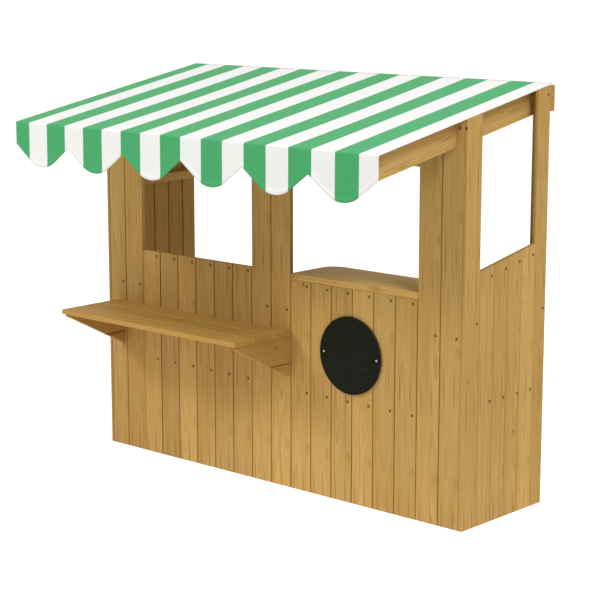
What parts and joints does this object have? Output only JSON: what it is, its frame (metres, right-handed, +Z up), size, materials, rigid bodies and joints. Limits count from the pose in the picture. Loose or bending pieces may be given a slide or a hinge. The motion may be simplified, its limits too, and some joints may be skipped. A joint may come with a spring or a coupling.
{
  "type": "wooden market stall",
  "caption": "Wooden market stall with a boarded front, serving window and counter, boarded sides, open back, front shelf, round chalkboard and striped scalloped awning.",
  "frame": {"origin": "on the ground under the middle of the stall's outer box", "axes": "+X to the right as a customer sees the front, +Y from the customers' side to the open back, +Z up"},
  "size_m": [1.812, 0.9714, 1.5377],
  "materials": {
    "front_boards": "oiled pine, upright grain",
    "side_boards": "oiled pine, upright grain",
    "frame_battens": "oiled pine",
    "roof_timber": "oiled pine",
    "shelf_timber": "oiled pine",
    "counter_timber": "oiled pine",
    "awning_cloth": "green and white striped canvas",
    "chalkboard": "matt chalkboard paint"
  },
  "bodies": {
    "root": {"left_pillar_panel": "front_boards", "window_apron_panel": "front_boards", "middle_pillar_panel": "front_boards", "counter_apron_panel": "front_boards", "right_pillar_panel": "front_boards", "left_wall_panel": "side_boards", "right_front_corner_board": "side_boards", "right_wall_panel": "side_boards", "right_rear_corner_board": "side_boards", "front_left_post": "frame_battens", "front_right_post": "frame_battens", "rear_left_post": "frame_battens", "rear_right_post": "frame_battens", "middle_post": "frame_battens", "window_mid_rail": "frame_battens", "counter_mid_rail": "frame_battens", "window_sill_rail": "frame_battens", "counter_rail": "frame_battens", "left_mid_rail": "frame_battens", "left_upper_rail": "frame_battens", "right_mid_rail": "frame_battens", "right_sill_rail": "frame_battens", "front_lintel": "frame_battens", "left_rafter": "roof_timber", "middle_rafter": "roof_timber", "right_rafter": "roof_timber", "eave_rail": "roof_timber", "back_rail": "roof_timber", "shelf_front_plank": "shelf_timber", "shelf_middle_plank": "shelf_timber", "shelf_back_plank": "shelf_timber", "shelf_bracket_left": "shelf_timber", "shelf_bracket_right": "shelf_timber", "counter_top": "counter_timber", "awning_roof": "awning_cloth", "awning_valance": "awning_cloth", "chalkboard_disc": "chalkboard"}
  },
  "joints": []
}
